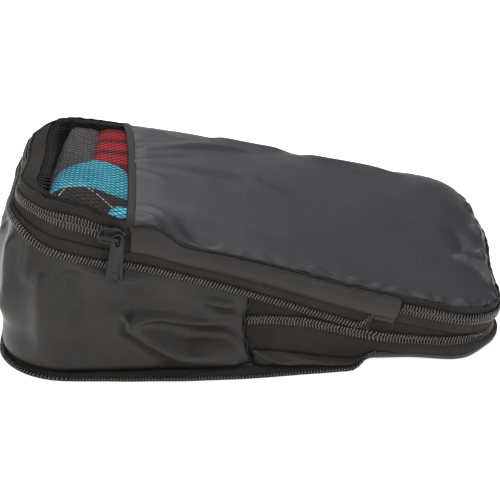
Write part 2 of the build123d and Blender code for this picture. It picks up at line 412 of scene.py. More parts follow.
def coil(name, path, start, end, low, high, depth, hand, lean=0.25, phase=0.0):
    """One row of a coil zip: a filament wound in flattened turns along path(s, out, z).

    Its looped heads stand at the row's high edge if hand is 1 and at its low edge if it is -1.
    """
    centre, half = (low + high) / 2, (high - low) / 2 - WIRE
    turns = int((end - start) / PITCH)
    line, thick = [], []
    for i in range(turns * TURN_STEPS + 1):
        angle = 2 * math.pi * i / TURN_STEPS
        over = hand * math.cos(angle)
        s = start + PITCH * (i / TURN_STEPS + phase) + lean * PITCH * over
        out = depth / 2 + (depth / 2 - WIRE) * math.sin(angle)
        line.append((s, out, centre + half * over))
        thick.append(WIRE * (1 + 0.25 * max(0.0, math.cos(angle)) ** 3))
    line = np.array(line)
    along = np.gradient(line, axis=0)
    along /= np.linalg.norm(along, axis=1)[:, None]
    side = np.cross(along, np.array([1.0, 0.0, 0.0]))
    side /= np.linalg.norm(side, axis=1)[:, None]
    rise = np.cross(side, along)
    points, faces = [], []
    for i, radius in enumerate(thick):
        for k in range(WIRE_SIDES):
            angle = 2 * math.pi * k / WIRE_SIDES
            p = line[i] + radius * (math.cos(angle) * side[i] + math.sin(angle) * rise[i])
            points.append(path(*p))
    for i in range(len(thick) - 1):
        faces += band_faces(i * WIRE_SIDES, (i + 1) * WIRE_SIDES, WIRE_SIDES)
    return make_object(name, points, faces)


def along_rim(rim, place):
    """A path(s, out, z) that walks a rim by millimetres."""
    return lambda s, out, z: place(rim.at_distance(s), out, z)


# --- Materials ------------------------------------------------------------------------------------
class Finish:
    """A node material with helpers for cloth and plastic."""

    def __init__(self, name, roughness, **sockets):
        self.material = bpy.data.materials.new(name)
        self.material.use_nodes = True
        self.tree = self.material.node_tree
        self.shader = self.tree.nodes["Principled BSDF"]
        self.shader.inputs["Roughness"].default_value = roughness
        for socket, value in sockets.items():
            self.shader.inputs[socket.replace("_", " ")].default_value = value
        self.place = self.add("ShaderNodeTexCoord").outputs["Object"]

    def add(self, kind, **values):
        node = self.tree.nodes.new(kind)
        for key, value in values.items():
            if key in node.inputs:
                node.inputs[key].default_value = value
            else:
                setattr(node, key, value)
        return node

    def link(self, output, socket):
        self.tree.links.new(output, socket)

    def noise(self, size, detail=2.0):
        """Noise whose features are about that many millimetres."""
        node = self.add("ShaderNodeTexNoise", Scale=1 / (size * MM), Detail=detail)
        self.link(self.place, node.inputs["Vector"])
        return node.outputs["Fac"]

    def waves(self, size, direction, distortion=0.0):
        """Bands that repeat every size millimetres."""
        node = self.add("ShaderNodeTexWave", bands_direction=direction,
                        Scale=math.pi / 10 / (size * MM), Distortion=distortion)
        self.link(self.place, node.inputs["Vector"])
        return node.outputs["Fac"]

    def sum(self, *parts):
        total = None
        for output, share in parts:
            node = self.add("ShaderNodeMath", operation="MULTIPLY")
            self.link(output, node.inputs[0])
            node.inputs[1].default_value = share
            if total is None:
                total = node.outputs[0]
                continue
            join = self.add("ShaderNodeMath", operation="ADD")
            self.link(total, join.inputs[0])
            self.link(node.outputs[0], join.inputs[1])
            total = join.outputs[0]
        return total

    def colours(self, output, stops):
        """A colour ramp from (position, colour) pairs."""
        ramp = self.add("ShaderNodeValToRGB")
        while len(ramp.color_ramp.elements) < len(stops):
            ramp.color_ramp.elements.new(0.5)
        for element, (position, colour) in zip(ramp.color_ramp.elements, stops):
            element.position = position
            element.color = (*colour, 1)
        self.link(output, ramp.inputs["Fac"])
        self.link(ramp.outputs["Color"], self.shader.inputs["Base Color"])

    def relief(self, output, depth):
        """Bump of that many millimetres."""
        bump = self.add("ShaderNodeBump", Distance=depth * MM, Strength=1.0)
        self.link(output, bump.inputs["Height"])
        self.link(bump.outputs["Normal"], self.shader.inputs["Normal"])


def make_cloth(name, dark, light, weave, depth, roughness, shine):
    """Plain woven cloth: threads on all three axes, so that it shows on walls of any direction.

    weave is the spacing of its threads and depth their height.
    """
    cloth = Finish(name, roughness, Specular_IOR_Level=shine)
    threads = [(cloth.waves(weave, axis, 0.6), 0.4) for axis in "XYZ"]
    height = cloth.sum(*threads, (cloth.noise(3 * weave), 0.5))
    cloth.relief(height, depth)
    tone = cloth.sum((cloth.noise(14.0, 3.0), 0.7), (cloth.noise(0.8), 0.3))
    cloth.colours(tone, [(0.35, dark), (0.65, light)])
    return cloth.material


def make_plastic(name, dark, light, roughness, **sockets):
    plastic = Finish(name, roughness, **sockets)
    plastic.relief(plastic.noise(0.4), 0.04)
    plastic.colours(plastic.noise(2.0), [(0.35, dark), (0.65, light)])
    return plastic.material


STITCH = 1.1  # one loop of the knitted clothes


def make_knit(name, stops, tone=None):
    """Jersey knit: rows of small loops, with a colour that may be striped."""
    knit = Finish(name, 0.85, Sheen_Weight=0.04, Sheen_Roughness=0.5)
    loops = knit.sum((knit.waves(STITCH, "X", 1.5), 0.5), (knit.waves(STITCH * 0.8, "Y", 1.5), 0.5),
                     (knit.waves(STITCH, "Z", 1.5), 0.4), (knit.noise(0.7), 0.4))
    knit.relief(loops, 0.35)
    knit.colours(tone(knit) if tone else knit.noise(4.0, 4.0), stops)
    return knit.material


def red_stripes(knit):
    return knit.sum((knit.waves(19.0, "Y", 0.4), 0.75), (knit.noise(1.2, 4.0), 0.35))


nylon = make_cloth("charcoal_nylon", (0.0215, 0.021, 0.0245), (0.0275, 0.0268, 0.031),
                   0.35, 0.05, 0.44, 0.4)
# The same charcoal nylon as above, made darker and warmer for the gusset, the hinge strip and the side
# strip: painted shade.
shaded_wall_nylon = make_cloth("charcoal_nylon_wall_shade", (0.014, 0.0129, 0.0124), (0.019, 0.0176, 0.017),
                        0.35, 0.05, 0.36, 0.28)
binding = make_cloth("binding_nylon", (0.0165, 0.016, 0.0175), (0.021, 0.0205, 0.0225),
                     0.35, 0.05, 0.62, 0.25)
tape = make_cloth("woven_tape", (0.012, 0.0106, 0.0096), (0.0195, 0.0172, 0.0156), 0.7, 0.2, 0.8, 0.25)
# The same woven tape, made lighter for the brim round the base's foot: painted light.
lit_brim_tape = make_cloth("lit_brim_tape", (0.022, 0.019, 0.0165), (0.031, 0.027, 0.0235), 0.7, 0.2, 0.8, 0.3)
net = make_cloth("net_yarn", (0.006, 0.0057, 0.006), (0.011, 0.0105, 0.0108), 0.4, 0.08, 0.65, 0.25)
# Near-black thread: real stitching on the side seam, and painted shade on the lid's piping.
thread_and_seam_shade = make_cloth("thread_and_seam_shade", (0.006, 0.006, 0.006), (0.012, 0.0115, 0.0115),
                           0.3, 0.08, 0.6, 0.3)
filament = make_plastic("coil_filament", (0.019, 0.0175, 0.016), (0.04, 0.037, 0.0345), 0.24,
                        Specular_IOR_Level=0.75)
paint = make_plastic("black_paint", (0.008, 0.0076, 0.0078), (0.013, 0.0124, 0.0126), 0.34,
                     Specular_IOR_Level=0.26, Coat_Weight=0.08, Coat_Roughness=0.12)
blue_knit = make_knit("blue_knit", [(0.3, (0.09, 0.6, 0.84)), (0.7, (0.13, 0.78, 0.98))])
red_knit = make_knit("red_knit", [(0.25, (0.2, 0.012, 0.02)), (0.45, (0.62, 0.016, 0.036)),
                                  (0.8, (0.74, 0.022, 0.046))], tone=red_stripes)
grey_knit = make_knit("grey_knit", [(0.3, (0.115, 0.108, 0.111)), (0.7, (0.19, 0.181, 0.184))])
brown_knit = make_knit("brown_knit", [(0.3, (0.030, 0.021, 0.018)), (0.7, (0.052, 0.038, 0.033))])
white_yarn = make_knit("white_yarn", [(0.3, (0.55, 0.54, 0.53)), (0.7, (0.75, 0.74, 0.73))])


# --- Putting a piece on the frame -----------------------------------------------------------------
def fit(piece, material, slot, body, *nodes):
    """Give a finished mesh its material, and let it stand for CAD nodes on a body.

    A piece that bends between two bodies has none here.
    """
    piece.data.materials.clear()
    piece.data.materials.append(material)
    if nodes:
        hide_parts(*nodes)
    if body:
        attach(piece, body)
    return piece


def crumple(piece):
    """Give a soft piece a mesh of its own."""
    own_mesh(piece)


# --- Base: panel, piping and brim -----------------------------------------------------------------
def make_base_panel():
    low, high = limits("base_panel")
    rows = spaced(-1, 1, 48)

    def place(u, v):
        x = mix(low[0], high[0], (u + 1) / 2)
        over = max(abs(x) - (high[0] - CORNER), 0.0)
        reach = high[1] - CORNER + math.sqrt(max(CORNER ** 2 - over ** 2, 0.0))
        y = v * reach
        swell = 0.5 * (ripple(x, y, 0, 40.0, 3.1) + 0.4) * smooth(BASE.inside(x, y) / 20)
        return x, y, high[2] + max(swell, 0.0) + base_lift(x, y)

    us = [math.sin(a) for a in spaced(-math.pi / 2, math.pi / 2, 72)]
    panel = sheet("base_panel_cloth", us, rows, place, high[2] - 0.1)
    fit(panel, nylon, "nylon", "base", "base_panel")


def make_base_piping():
    line = [base_at(t, -0.2, 1.6) for t in BASE.walk(0, 8, 2.0)][:-1]
    piping = tube("base_piping_cord", [line], 1.4, sides=8, closed=True)
    fit(piping, nylon, "nylon", "base", "base_piping")


BRIM_FRONT_END = BASE.front(57.0)
BRIM_BACK_END = BASE.back(50.0)
BRIM_TUCK = 15.0  # millimetres over which an end of the brim narrows and tucks under
BRIM_WIDTH = 10.0
BRIM_FLARE = 4.0  # how much wider it lies at the middle of the tall half's front
BRIM_TAPER = 3.0  # how much narrower it is towards the thin end


def brim_ends(t):
    """0 at the brim's two ends and 1 away from them."""
    s = BASE.distance(t)
    ends = (s - BASE.distance(BRIM_BACK_END), BASE.distance(BRIM_FRONT_END + 8) - s)
    return smooth(min(ends) / BRIM_TUCK)


def brim_width(t):
    """How far the brim's edge stands from the base seam."""
    x, y, _, ny = BASE.at(t)
    flare = BRIM_FLARE * bell(x, -35.0, 60.0) * max(-ny, 0.0)
    wide = BRIM_WIDTH + flare - BRIM_TAPER * smooth((x + 10) / 60)
    return wide + 0.35 * ripple(x, y, 0, 18.0, 5.0)


def brim_at(t, share, z):
    """A point of the brim: share is 0 at the wall and 1 at its outer edge."""
    left = brim_ends(t)
    width = brim_width(t)
    rise = 0.8 * (1 - smooth(share / 0.3)) + 2.6 * (1 - left) * share
    out = mix(-1.5, width, share) - (1 - left) * share * (width - 1.0)
    return base_at(t, out, 0.25 + rise + z)


def make_brim():
    ts = BASE.walk(BRIM_BACK_END, BRIM_FRONT_END + 8, 2.5)
    brim = sheet("lower_compression_brim", ts, spaced(0, 1, 10), lambda t, v: brim_at(t, v, 0.5), 0.5)
    fit(brim, lit_brim_tape, "zip_tape", "base", "lower_compression_tape")

    def path(s, out, z):
        t = BASE.at_distance(s)
        return brim_at(t, 1.0 + z / brim_width(t), out + 0.3)

    row = coil("lower_compression_row", path, BASE.distance(BRIM_BACK_END),
               BASE.distance(BRIM_FRONT_END + 8), -3.0, 0.0, 1.9, 1, lean=0.1)
    fit(row, filament, "zip_coil", "base", "lower_compression_coil")


# --- Wall: gusset, access zip and side strip ------------------------------------------------------
WALL_LOW = 1.5  # height of the wall's lower edge
HIDDEN = 5.0  # how far the wall runs up inside the upper frame
SEAM_PULL = 4.5  # how far the side seam is drawn towards the tall end at half its height
SEAM_SHIFT = (3.0, 5.5)  # how far its foot and its top stand towards the thin end


def wall_top(t, extra=0.0):
    """Where the wall's cloth meets the upper frame's lowest row of coil."""
    x = LID.at(t)[0]
    low = mix(COIL_LOW + 0.8, BAND_HIGH + 0.5, smooth((x - COIL_END_X + 2) / 6))
    return upper_at(t, -1.2, low + extra)


def wall_point(t, v, out):
    """A point of the wall between the base seam, v = 0, and the upper frame, v = 1.

    From v = 1 to 1.1 it runs up inside the upper frame.
    """
    low = base_at(t, -0.3, WALL_LOW)
    high = wall_top(t, HIDDEN * max(0.0, min(v, 1.1) - 1) / 0.1)
    x, _, nx, ny = BASE.at(t)
    v = min(v, 1.0)
    shift = mix(*SEAM_SHIFT, v) - SEAM_PULL * math.sin(math.pi * v)
    shift *= bell(x, SEAM_X, 16.0) * max(-ny, 0.0)
    return (mix(low[0], high[0], v) + nx * out + shift, mix(low[1], high[1], v) + ny * out,
            mix(low[2], high[2], v))


FOLD_RISE = 2.6  # how many times its listed height a fold of the gusset or the lid stands
# Folds of the gusset: a line of (millimetres walked from the front's start, height above the seam),
# the ridge's height, which is below 0 for a hollow, and its width
GUSSET_FOLDS = [
    ([(26, 27.5), (45, 27.5), (62, 24.5), (80, 20.5)], 1.5, 2.2),
    ([(27, 27), (38, 18), (52, 11), (73, 3)], 3.4, 6.0),
    ([(58, 17), (76, 14.5), (86, 14)], -1.2, 4.5),
    ([(20, 36), (40, 36), (64, 33)], -0.6, 5.0),
    ([(66, 36), (76, 33), (84, 32)], 1.2, 3.0),
    ([(70, 27), (78, 26), (86, 25)], -0.5, 2.5),
    ([(-19, 76), (-17, 58), (-19, 42)], 1.1, 3.2),
    ([(-10, 52), (-10, 30), (-13, 4)], 2.0, 5.5),
    ([(-30, 66), (-27, 40), (-32, 16)], 1.6, 5.0),
    ([(2, 52), (6, 36), (0, 20)], -1.3, 6.0),
    ([(8, 56), (24, 48), (50, 46)], 1.0, 5.0),
    ([(-60, 60), (-66, 36), (-60, 12)], 1.8, 7.0),
    ([(-96, 66), (-88, 38), (-98, 16)], 1.6, 8.0),
    ([(-150, 60), (-160, 34), (-148, 12)], 2.0, 7.0),
    ([(-190, 52), (-210, 34), (-240, 26)], 2.2, 6.0),
    ([(-235, 44), (-262, 22), (-290, 16)], 1.8, 5.0),
]
FOOT = 6.0  # how far the gusset's foot hangs over the brim


def fold_height(u, v, folds):
    """Summed height of fold ridges near a point. Each is a line, a height and a width."""
    total = 0.0
    for line, height, width in folds:
        nearest, share = 1e9, 0.0
        for i in range(len(line) - 1):
            (ax, ay), (bx, by) = line[i], line[i + 1]
            dx, dy = bx - ax, by - ay
            f = min(max(((u - ax) * dx + (v - ay) * dy) / (dx * dx + dy * dy), 0), 1)
            gap = math.hypot(u - ax - f * dx, v - ay - f * dy)
            if gap < nearest:
                nearest, share = gap, (i + f) / (len(line) - 1)
        if nearest > 4 * width:
            continue
        taper = smooth(share / 0.15 + 0.3) * smooth((1 - share) / 0.35)
        ridge = 0.6 * bell(nearest, 0, width) + 0.4 * math.exp(-1.6 * nearest / width)
        total += height * ridge * taper
    return total


def gusset_out(t, v):
    """How far the gusset's cloth bulges out between its seams."""
    v = min(v, 1.0)
    t = (t + 4) % 8 - 4
    x, y, nx, _ = BASE.at(t)
    tall = wall_top(t)[2] - WALL_LOW
    height = v * tall
    belly = math.sin(math.pi * v ** 0.85)
    out = belly * mix(1.8, 9.0, max(-nx, 0.0) ** 1.5) * smooth((60 - x) / 150)
    edges = smooth(v / 0.1) * smooth((1 - v) / 0.1)
    out += FOLD_RISE * fold_height(BASE.distance(t), height, GUSSET_FOLDS) * edges
    out += FOOT * smooth(height / 1.8) * (1 - smooth((height - 1.5) / 18)) * smooth((tall - 14) / 20)
    out += belly * (1.2 * ripple(x, y, height, 30.0, 1.7) + 0.4 * ripple(x, y, height, 12.0, 4.2))
    seam = min(BASE.distance(BASE.front(SEAM_X)) - BASE.distance(t), 30.0)
    hold = smooth(abs(seam) / 9)
    return out * hold + (1 - hold) * (0.9 + 0.5 * math.sin(height / 2.1))


def make_gusset():
    rows = spaced(0, 1, 36) + [1.05, 1.1]

    def place(t, v):
        return wall_point(t, v, gusset_out(t, v))

    seam_back = BASE.back(SEAM_X)
    tall = sheet("gusset_tall_end", BASE.walk(seam_back, BASE.front(SEAM_X) + 8, 2.2), rows, place, 0.4)
    fit(tall, shaded_wall_nylon, "nylon", "base", "gusset")
    crumple(tall)
    end_y = limits("access_upper_coil")[1][1]
    back = sheet("gusset_back", BASE.walk(BASE.thin(end_y), seam_back, 2.5), rows, place, 0.4)
    fit(back, shaded_wall_nylon, "nylon", "base", "gusset")
    crumple(back)


# Height of the access zip's chain by x on the front, and on the thin end
ACCESS_LINE = [(SEAM_X, 25.2), (8.0, 24.8), (23.5, 23.2), (34.0, 20.7), (43.0, 18.2), (56.0, 15.4),
               (72.0, 13.2), (91.5, 11.6)]
ACCESS_END_Z = 9.0
ACCESS_IN = -1.6  # how far outwards the wall moves towards the frame: below 0, it is set back
ACCESS_REACH = 2.7  # how far a row of the access zip reaches from the chain's middle


def access_z(t):
    """Height of the access zip's chain at a place round the front and the thin end."""
    if t >= 1:
        return mix(ACCESS_LINE[-1][1], ACCESS_END_Z, smooth((t - 1) / 1.5))
    return curve(ACCESS_LINE, BASE.at(t)[0])


def access_point(t, share, out):
    """A point of the access wall at a share of its height, set back a little from the frame."""
    x, y = BASE.at(t)[:2]
    inward = ACCESS_IN * smooth(share) + 0.4 * ripple(x, y, 60 * share, 15.0, 2.0)
    return wall_point(t, share, out + inward)


def wall_heights(t):
    """Lowest height of the wall's cloth, and its height from there to the upper frame."""
    low = base_at(t, 0, WALL_LOW)[2]
    return low, wall_top(t)[2] - low


def chain_share(t):
    low, tall = wall_heights(t)
    return (access_z(t) - low) / tall


def access_at(t, out, z):
    """A point of the access wall at a height above the chain line."""
    return access_point(t, chain_share(t) + z / wall_heights(t)[1], out)


def make_access_zip():
    start, end = BASE.front(SEAM_X), BASE.thin(limits("access_upper_coil")[1][1])
    ts = BASE.walk(start, end, 2.0)
    upper_tape = sheet("access_upper_cloth", ts, spaced(0, 1, 10) + [1.05],
                       lambda t, v: access_point(t, mix(chain_share(t), 1, v), 0), 0.5)

    def lower_place(t, v):
        swell = 2.4 * smooth((BASE.at(t)[0] - 52) / 25) * math.sin(0.92 * math.pi * v)
        return access_point(t, mix(0, chain_share(t), v), swell)

    lower_tape = sheet("access_lower_cloth", ts, spaced(0, 1, 8), lower_place, 0.5)
    path = along_rim(BASE, access_at)
    run = BASE.distance(start) + 1, BASE.distance(end) - 1
    upper_row = coil("access_upper_row", path, *run, -ROW_OVERLAP, ACCESS_REACH, 1.8, -1)
    lower_row = coil("access_lower_row", path, *run, -ACCESS_REACH, ROW_OVERLAP, 1.8, 1, phase=0.5)
    fit(upper_tape, tape, "zip_tape", "base", "access_upper_tape")
    fit(lower_tape, tape, "zip_tape", "base", "access_lower_tape")
    fit(upper_row, filament, "zip_coil", "base", "access_upper_coil")
    fit(lower_row, filament, "zip_coil", "base", "access_lower_coil")
    for piece in (upper_tape, lower_tape, upper_row, lower_row):
        crumple(piece)


SIDE_STRIP_X = SEAM_X + SEAM_SHIFT[0] - 0.5, 62.0
STRIP_FOLDS = [([(-2, 9), (6, 5), (14, 3)], 1.6, 1.6), ([(12, 8), (22, 5), (34, 4)], 1.2, 1.6)]


def make_side_strip():
    """The strip of nylon below the access zip, which sags out over the base seam."""
    start_x, end_x = SIDE_STRIP_X

    def place(t, v):
        x = BASE.at(t)[0]
        high = mix(10.0, 3.6, smooth((x - SEAM_X) / 62))
        bulge = (4.2 + 0.9 * ripple(x, 0, 8 * v, 12.0, 6.5)) * math.sin(math.pi * v ** 0.6)
        fold = 0.9 * fold_height(x, high * v, STRIP_FOLDS)
        bulge *= smooth((end_x - x) / 30) * smooth((x - start_x + 3) / 9)
        return base_at(t, 0.5 + bulge + fold, mix(1.2, high, v))

    strip = sheet("side_strip_cloth", BASE.walk(BASE.front(start_x), BASE.front(end_x), 1.5),
                  spaced(0, 1, 14), place, 0.5)
    fit(strip, shaded_wall_nylon, "nylon", "base", "lower_side_strip")
    crumple(strip)


def make_side_seam():
    """The line of stitching where the gusset meets the access zip on the front."""
    line = []
    for v in spaced(0.02, 1.0, 60):
        x, y, z = wall_point(BASE.front(SEAM_X), v, 1.0)
        line.append((x + 0.7 * math.sin(z / 1.7), y, z))
    seam = tube("side_seam_stitching", [line], 0.55)
    fit(seam, thread_and_seam_shade, "nylon", "base", "gusset")
    crumple(seam)


# --- Upper frame ----------------------------------------------------------------------------------
def strip_out(x, z):
    """How far the hinge strip stands out: it bulges more towards its thin end."""
    share = min(max((z - BAND_HIGH) / (LID_Z - BAND_HIGH), 0), 1)
    full = mix(1.4, 3.0, smooth((x - STRIP_X[0]) / 110))
    waves = 0.5 * ripple(x, 0, z, 14.0, 7.0) + 0.9 * ripple(x, 0, z, 34.0, 2.0)
    gather = 0.28 * math.sin(x / 1.7 + 5 * ripple(x, 0, 0, 11.0)) * ripple(x, 0, 5, 9.0, 1.0)
    tuck = 1.3 * smooth((share - 0.93) / 0.07)
    return 0.3 + (full + waves) * math.sin(math.pi * share) ** 0.6 + 3 * gather * share ** 4 - tuck


STRIP_LEAN = 0.22  # the strip's tall end leans towards the thin end as it goes down


def strip_shift(x, z):
    return STRIP_LEAN * (LID_Z - z) * (1 - smooth((x - STRIP_X[0]) / 40))


def make_hinge_strip():
    start, end = LID.front(STRIP_X[0]), LID.front(STRIP_X[1])

    def place(t, v):
        x = LID.at(t)[0]
        z = mix(BAND_HIGH - 1.6, LID_Z + 0.6, v)
        return upper(x + strip_shift(x, z), LID.low_y - strip_out(x, z), z)

    strip = sheet("hinge_strip_cloth", LID.walk(start, end, 1.2), spaced(0, 1, 20), place, 0.5)
    fit(strip, shaded_wall_nylon, "nylon", None, "hinge_strip")
    middle = sum(STRIP_X) / 2
    metres(let_out(middle, LID.low_y, LID_Z - 8))
    metres(let_out(middle, LID.low_y, LID_Z + 0.6))
    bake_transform(strip)


def chain_at(t, out, z):
    """A point of the main chain, which turns partly edge-on as it rounds the tall front corner."""
    x, y = LID.at(t)[:2]
    narrow = 1 - 0.4 * smooth((-98 - x) / 18) * smooth(-y / 40)
    return upper_at(t, out * narrow, MAIN_Z + (z - MAIN_Z) * narrow)


MAIN_REACH = 3.1  # how far a row of the main zip reaches from the chain's middle
MAIN_DEPTH = 2.1
MAIN_TURN_LEAN = 0.22
ROW_CURL = 9.0  # millimetres over which the open row curls up and tucks in at its thin end


def make_frame_tapes():
    """The tapes, the band and the rows of coil round the upper frame, with the lid's half of its zip."""
    strip_start, strip_end = LID.front(STRIP_X[0]), LID.front(STRIP_X[1])
    coil_back, coil_front = LID.back(COIL_END_X), LID.front(COIL_END_X) + 8
    zip_run = LID.walk(strip_end - 0.03, LID.front(STRIP_X[0] + 10) + 8, 2.0)
    frame_run = LID.walk(coil_back, coil_front, 2.0)

    def band(t, v):
        x, y = LID.at(t)[:2]
        return upper_at(t, 0.5 + 0.5 * math.sin(math.pi * v) + 0.3 * ripple(x, y, 9 * v, 9.0, 1.0),
                        mix(BAND_LOW - 0.5, BAND_HIGH + 0.4, v))

    def main_lower(t, v):
        return upper_at(t, 0.1, mix(BAND_HIGH - 0.5, MAIN_Z - 0.2, v))

    def open_tape(t, v):
        return upper_at(t, 0.4, mix(COIL_LOW + 0.1, BAND_LOW + 0.6, v))

    for name, run, rows, place, node in (
            ("main_lower_cloth", zip_run, 6, main_lower, "main_lower_tape"),
            ("compression_band_cloth", frame_run, 6, band, "compression_band"),
            ("upper_compression_cloth", frame_run, 4, open_tape, "upper_compression_tape")):
        piece = sheet(name, run, spaced(0, 1, rows), place)
        fit(piece, tape, "zip_tape", "upper_frame", node)
    path = along_rim(LID, chain_at)
    run = LID.distance(strip_end) + 1, LID.distance(strip_start + 8) - 1
    lower_row = coil("main_lower_row", path, *run, MAIN_Z - MAIN_REACH, MAIN_Z + ROW_OVERLAP,
                     MAIN_DEPTH, 1, lean=MAIN_TURN_LEAN)
    fit(lower_row, filament, "zip_coil", "upper_frame", "main_lower_coil")
    upper_row = coil("main_upper_row", path, *run, MAIN_Z - ROW_OVERLAP, MAIN_Z + MAIN_REACH,
                     MAIN_DEPTH, -1, lean=-MAIN_TURN_LEAN, phase=0.5)
    fit(upper_row, filament, "zip_coil", "lid", "main_upper_coil")
    curl = LID.distance(coil_front) - ROW_CURL

    def open_path(s, out, z):
        turned = smooth((s - curl) / ROW_CURL)
        return upper_at(LID.at_distance(s), out - 0.5 * turned, z + 6.5 * turned ** 2)

    open_row = coil("upper_compression_row", open_path, LID.distance(coil_back),
                    LID.distance(coil_front), COIL_LOW - 0.4, COIL_LOW + OPEN_ROW, 2.5, -1, lean=0.14)
    fit(open_row, filament, "zip_coil", "upper_frame", "upper_compression_coil")
    upper_tape = sheet("main_upper_cloth", zip_run, spaced(0, 1, 5),
                       lambda t, v: upper_at(t, 0.1, mix(MAIN_Z + 0.2, LID_Z + 0.4, v)), 0.5)
    fit(upper_tape, tape, "zip_tape", "lid", "main_upper_tape")


# --- Lid ------------------------------------------------------------------------------------------
LID_DOME = 3.6
BACK_SWELL = 4.5
# Folds of the lid: a line in the flat plan, the ridge's height and its width
LID_FOLDS = [
    ([(-72, 54), (-62, 56), (-50, 58)], 0.9, 2.0),
    ([(-72, 45), (-60, 50), (-44, 54)], 0.8, 2.2),
    ([(-72, 31), (-58, 38), (-44, 43)], 0.8, 2.0),
    ([(-72, 20), (-56, 30), (-40, 41), (-20, 50), (2, 57)], 1.3, 2.6),
    ([(-72, 12), (-56, 20), (-41, 27)], 1.0, 2.0),
    ([(-72, 4), (-47, 6), (-15, 11), (14, 2)], 1.5, 2.8),
    ([(-72, -10), (-62, -13), (-54, -17)], 0.8, 2.2),
    ([(-69, -57), (-55, -66), (-46, -76)], 0.8, 2.6),
    ([(-70, -66), (-64, -70), (-59, -76)], 0.7, 1.8),
    ([(-44, -70), (-34, -74), (-26, -76)], -0.9, 3.0),
    ([(117, 55), (113, 40), (117, 28)], 1.0, 2.6),
    ([(113, 23), (109, 12), (114, 4)], 1.1, 2.6),
    ([(109, -11), (112, -14), (115, -18)], 1.0, 2.0),
    ([(96, -26), (107, -30), (112, -38), (112, -53)], 1.5, 2.8),
    ([(98, 6), (102, -8), (98, -22)], -0.7, 5.0),
    ([(16, -72), (19, -74), (21, -78)], 0.9, 1.8),
    ([(36, -73), (38, -75), (40, -78)], 0.8, 1.6),
    ([(20, 62), (50, 66), (84, 60)], 1.0, 5.0),
    ([(-30, 66), (-4, 68), (20, 74)], 1.0, 4.0),
]
# The trim runs slightly askew: how far it leans from its place, by y
TRIM_LEAN = [(-78, 1.5), (0, 0.0), (40, -2.2), (78, -4.5)]


def slant(x, y):
    """x moved with the trim's lean, which fades away from it."""
    return x + curve(TRIM_LEAN, y) * (1 - smooth(abs(x - sum(TRIM_X) / 2) / 45))


def lid_height(x, y):
    """Flat height of the lid's cloth, domed by what is inside and creased by its seams."""
    depth = max(LID.inside(x, y), 0.0)
    u = (x - LID.low_x) / (LID.high_x - LID.low_x)
    swell = BACK_SWELL * smooth((y + 20) / 70) * smooth(u / 0.4) * (1 - math.exp(-depth / 7))
    dome = 2.0 * (1 - math.exp(-depth / 1.8)) + LID_DOME * (1 - math.exp(-depth / 22)) + swell
    pucker = 0.5 * bell(depth, 3.0, 3.0) * ripple(x, y, 0, 4.0, 9.0)
    return LID_Z - 0.4 + dome + pucker


def panel_height(x, y):
    waves = 0.6 * ripple(x, y, 0, 38.0, 2.2) + 0.3 * ripple(x, y, 0, 17.0, 6.0)
    inside = LID.inside(x, y)
    hold = smooth(inside / 5)
    pucker = 0.55 * bell(inside, 2.5, 3.0) * math.sin(x / 1.6 + 5 * ripple(x, y, 0, 9.0))
    folds = FOLD_RISE * fold_height(x, y, LID_FOLDS)
    return lid_height(x, y) + waves * hold + folds * hold + pucker


def plan_reach(x, inset):
    """Half the lid's width at x, inside its seam."""
    over = max(x - (LID.high_x - LID.corner), (LID.low_x + LID.corner) - x, 0.0)
    r = LID.corner - inset
    return LID.high_y - LID.corner + math.sqrt(max(r * r - over * over, 0.0))


SEAM_INSET = 1.1


def make_lid_panel():
    low, high = TRIM_X[1] - 1.5, LID.high_x - SEAM_INSET
    xs = [mix(low, high, math.sin(a)) for a in spaced(0, math.pi / 2, 90)]

    def place(x, v):
        y = math.sin(v) * plan_reach(x, SEAM_INSET)
        return upper(slant(x, y), y, panel_height(x, y))

    panel = sheet("lid_panel_cloth", xs, spaced(-math.pi / 2, math.pi / 2, 80), place, 0.4, levels=1)
    fit(panel, nylon, "nylon", "lid", "lid_panel")


def u_point(low_x, low_y, high_y, corner, end_x, f):
    """A point of a U-shaped outline round the tall end, from its back arm to its front arm."""
    if f < 1:
        return mix(end_x, low_x + corner, f), high_y
    if f < 2:
        a = math.pi / 2 * f
        return low_x + corner + corner * math.cos(a), high_y - corner + corner * math.sin(a)
    if f < 3:
        return low_x, mix(high_y - corner, low_y + corner, f - 2)
    if f < 4:
        a = math.pi / 2 * (f - 1)
        return low_x + corner + corner * math.cos(a), low_y + corner + corner * math.sin(a)
    return mix(low_x + corner, end_x, f - 4), low_y


WINDOW_CORNER = 17.0
NET_LOW_Y, NET_HIGH_Y = LID.low_y + 2.4, LID.high_y - 3.0


def make_window_border():
    end_x = TRIM_X[0] + 1

    def place(f, v):
        ox, oy = u_point(LID.low_x + SEAM_INSET, LID.low_y + SEAM_INSET, LID.high_y - SEAM_INSET,
                         CORNER - SEAM_INSET, end_x, f)
        ix, iy = u_point(WINDOW_LOW[0] + 0.5 * ripple(0, oy, 0, 9.0), NET_LOW_Y, NET_HIGH_Y,
                         WINDOW_CORNER, end_x, f)
        x, y = mix(ox, ix, v), mix(oy, iy, v)
        hem = 0.5 * bell(v, 0.93, 0.12) + 0.25 * ripple(x, y, 0, 7.0, 3.0) * v * (1 - v)
        return upper(slant(x, y), y, lid_height(x, y) + 0.25 + hem)

    border = sheet("window_border_cloth", spaced(0, 5, 180), spaced(0, 1, 14), place, 0.5)
    fit(border, tape, "zip_tape", "lid", "window_border")


CELL_X, CELL_Y = 2.15, 2.0  # half of a diamond of the net
HOLE = 0.9
GATHERED_HOLE = 0.6  # where the net is gathered in folds, near its tall end and its back
GATHERED_X, GATHERED_Y = -111.0, 60.0  # the net is gathered before this x and beyond this y


